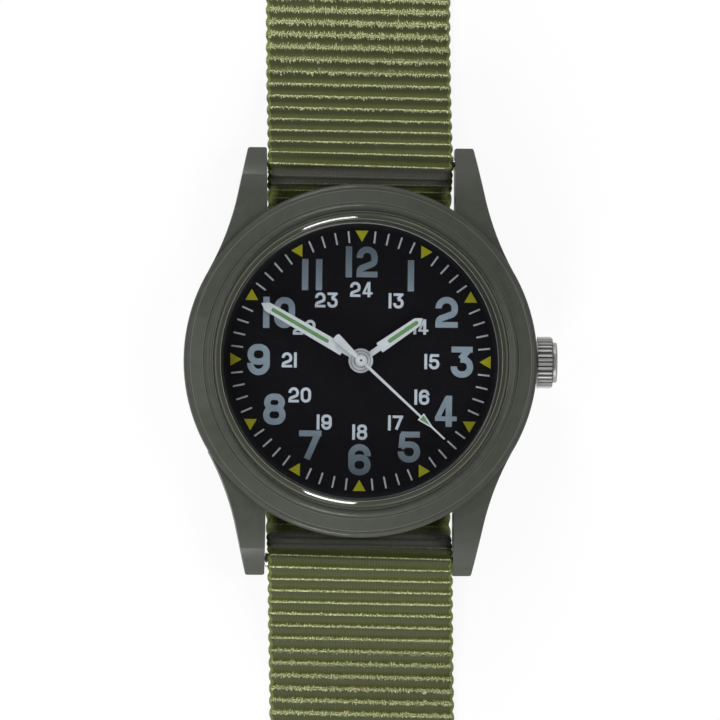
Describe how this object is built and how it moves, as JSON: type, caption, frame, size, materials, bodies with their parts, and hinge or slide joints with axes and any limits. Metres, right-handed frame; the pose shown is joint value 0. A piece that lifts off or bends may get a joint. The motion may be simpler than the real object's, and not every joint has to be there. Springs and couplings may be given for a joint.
{
  "type": "field watch",
  "caption": "Round-cased wristwatch with a domed crystal, plain hands, a fluted crown and a one-piece woven strap with a pin buckle, laid out flat.",
  "frame": {"origin": "under the middle of the dial, on the underside of the strap that the watch lies on", "axes": "+Z out of the dial, +Y to 12 o'clock along the strap, +X to the crown"},
  "size_m": [0.0362, 0.2745, 0.0103],
  "materials": {
    "case_paint": "satin",
    "steel": "brushed",
    "seal": "matt",
    "acrylic": "polished",
    "flange_black": "satin",
    "dial_black": "matt",
    "hand_paint": "matt",
    "lume": "matt",
    "brass": "satin",
    "magnet": "matt",
    "ring_plastic": "matt",
    "copper": "satin",
    "board_green": "satin",
    "chip_black": "matt",
    "nylon": "woven"
  },
  "bodies": {
    "watch": {"case": "case_paint", "case_back": "steel", "case_back_gasket": "seal", "crystal": "acrylic", "crystal_gasket": "seal", "crown_tube": "steel", "dial_flange": "flange_black", "dial": "dial_black", "movement_ring": "ring_plastic", "mainplate": "brass", "train_bridge": "brass", "movement_screws": "steel", "stator": "magnet", "coil_core": "magnet", "coil": "copper", "coil_screws": "steel", "circuit_board": "board_green", "circuit_chip": "chip_black", "quartz_crystal": "steel", "battery": "steel", "battery_clamp": "steel", "centre_tube": "brass", "strap": "nylon", "strap_loop": "nylon", "buckle_bar": "steel", "spring_bar_tube_top": "steel", "spring_bar_spring_top": "steel", "spring_bar_tube_bottom": "steel", "spring_bar_spring_bottom": "steel"},
    "seconds": {"second_wheel": "brass", "second_hand": "hand_paint", "second_hand_lume": "lume"},
    "third": {"third_wheel": "brass"},
    "minutes": {"centre_wheel": "brass", "cannon_pinion": "steel", "minute_hand": "hand_paint", "minute_hand_lume": "lume"},
    "minute_works": {"minute_wheel": "brass"},
    "hours": {"hour_wheel": "brass", "hour_hand": "hand_paint", "hour_hand_lume": "lume"},
    "setting": {"setting_wheel": "brass"},
    "fifth": {"fifth_wheel": "brass"},
    "rotor": {"rotor_magnet": "magnet", "rotor_pinion": "steel"},
    "crown_seal": {"crown_gasket": "seal"},
    "crown_and_stem": {"crown": "steel", "stem": "steel"},
    "clutch": {"sliding_pinion": "steel"},
    "lever": {"setting_lever": "steel"},
    "yoke_body": {"yoke": "steel"},
    "frame": {"buckle_frame": "steel"},
    "tongue": {"buckle_tongue": "steel"},
    "pin_top_right": {"spring_bar_pin_top_right": "steel"},
    "pin_top_left": {"spring_bar_pin_top_left": "steel"},
    "pin_bottom_right": {"spring_bar_pin_bottom_right": "steel"},
    "pin_bottom_left": {"spring_bar_pin_bottom_left": "steel"}
  },
  "joints": [
    {"name": "seconds_turn", "type": "hinge", "parent": "watch", "child": "seconds", "pos_m": [0, 0, 0.005], "axis": [0, 0, -1], "continuous": true},
    {"name": "rotor_turn", "type": "hinge", "parent": "watch", "child": "rotor", "pos_m": [0.00324, 0.00083, 0.005], "axis": [0, 0, -1], "continuous": true},
    {"name": "fifth_turn", "type": "hinge", "parent": "watch", "child": "fifth", "pos_m": [0.00186, -0.00033, 0.005], "axis": [0, 0, -1], "continuous": true},
    {"name": "third_turn", "type": "hinge", "parent": "watch", "child": "third", "pos_m": [-0.00193, 0.00162, 0.005], "axis": [0, 0, -1], "continuous": true},
    {"name": "minutes_turn", "type": "hinge", "parent": "watch", "child": "minutes", "pos_m": [0, 0, 0.005], "axis": [0, 0, -1], "continuous": true},
    {"name": "minute_works_turn", "type": "hinge", "parent": "watch", "child": "minute_works", "pos_m": [0.0027, 0, 0.005], "axis": [0, 0, -1], "continuous": true},
    {"name": "hours_turn", "type": "hinge", "parent": "watch", "child": "hours", "pos_m": [0, 0, 0.005], "axis": [0, 0, -1], "continuous": true},
    {"name": "setting_turn", "type": "hinge", "parent": "watch", "child": "setting", "pos_m": [0.0054, 0, 0.005], "axis": [0, 0, -1], "continuous": true},
    {"name": "crown_pull", "type": "slide", "parent": "watch", "child": "crown_seal", "axis": [1, 0, 0], "range_m": [0, 0.0009]},
    {"name": "crown_turn", "type": "hinge", "parent": "crown_seal", "child": "crown_and_stem", "pos_m": [0.0172, 0, 0.0044], "axis": [1, 0, 0], "continuous": true},
    {"name": "pinion_shift", "type": "slide", "parent": "crown_and_stem", "child": "clutch", "axis": [1, 0, 0], "range_m": [-0.0013, 0]},
    {"name": "lever_turn", "type": "hinge", "parent": "watch", "child": "lever", "pos_m": [0.00995, -0.00235, 0.0052], "axis": [0, 0, 1], "range_deg": [-26, 0]},
    {"name": "yoke_turn", "type": "hinge", "parent": "watch", "child": "yoke_body", "pos_m": [0.0069, 0.00227, 0.0052], "axis": [0, 0, 1], "range_deg": [-13.82, 0]},
    {"name": "pin_top_right_press", "type": "slide", "parent": "watch", "child": "pin_top_right", "axis": [-1, 0, 0], "range_m": [0, 0.00095], "stiffness_N_per_m": 600, "springref_m": -0.001},
    {"name": "pin_top_left_press", "type": "slide", "parent": "watch", "child": "pin_top_left", "axis": [1, 0, 0], "range_m": [0, 0.00095], "stiffness_N_per_m": 600, "springref_m": -0.001},
    {"name": "pin_bottom_right_press", "type": "slide", "parent": "watch", "child": "pin_bottom_right", "axis": [-1, 0, 0], "range_m": [0, 0.00095], "stiffness_N_per_m": 600, "springref_m": -0.001},
    {"name": "pin_bottom_left_press", "type": "slide", "parent": "watch", "child": "pin_bottom_left", "axis": [1, 0, 0], "range_m": [0, 0.00095], "stiffness_N_per_m": 600, "springref_m": -0.001},
    {"name": "buckle_swing", "type": "hinge", "parent": "watch", "child": "frame", "pos_m": [0, 0.0775, 0.00205], "axis": [1, 0, 0], "range_deg": [-60, 75]},
    {"name": "tongue_swing", "type": "hinge", "parent": "frame", "child": "tongue", "pos_m": [0, 0.0775, 0.00205], "axis": [1, 0, 0], "range_deg": [0, 75]}
  ],
  "couplings": [
    {"joint": "rotor_turn", "follows": "seconds_turn", "ratio": 30},
    {"joint": "fifth_turn", "follows": "seconds_turn", "ratio": -6},
    {"joint": "third_turn", "follows": "seconds_turn", "ratio": -0.13333},
    {"joint": "minutes_turn", "follows": "seconds_turn", "ratio": 0.016667},
    {"joint": "minute_works_turn", "follows": "seconds_turn", "ratio": -0.0055556},
    {"joint": "hours_turn", "follows": "seconds_turn", "ratio": 0.0013889},
    {"joint": "setting_turn", "follows": "seconds_turn", "ratio": 0.016667},
    {"joint": "pinion_shift", "follows": "crown_pull", "ratio": -1.4444},
    {"joint": "lever_turn", "follows": "crown_pull", "rad_per_m": -504.2},
    {"joint": "yoke_turn", "follows": "crown_pull", "rad_per_m": -268.03}
  ]
}
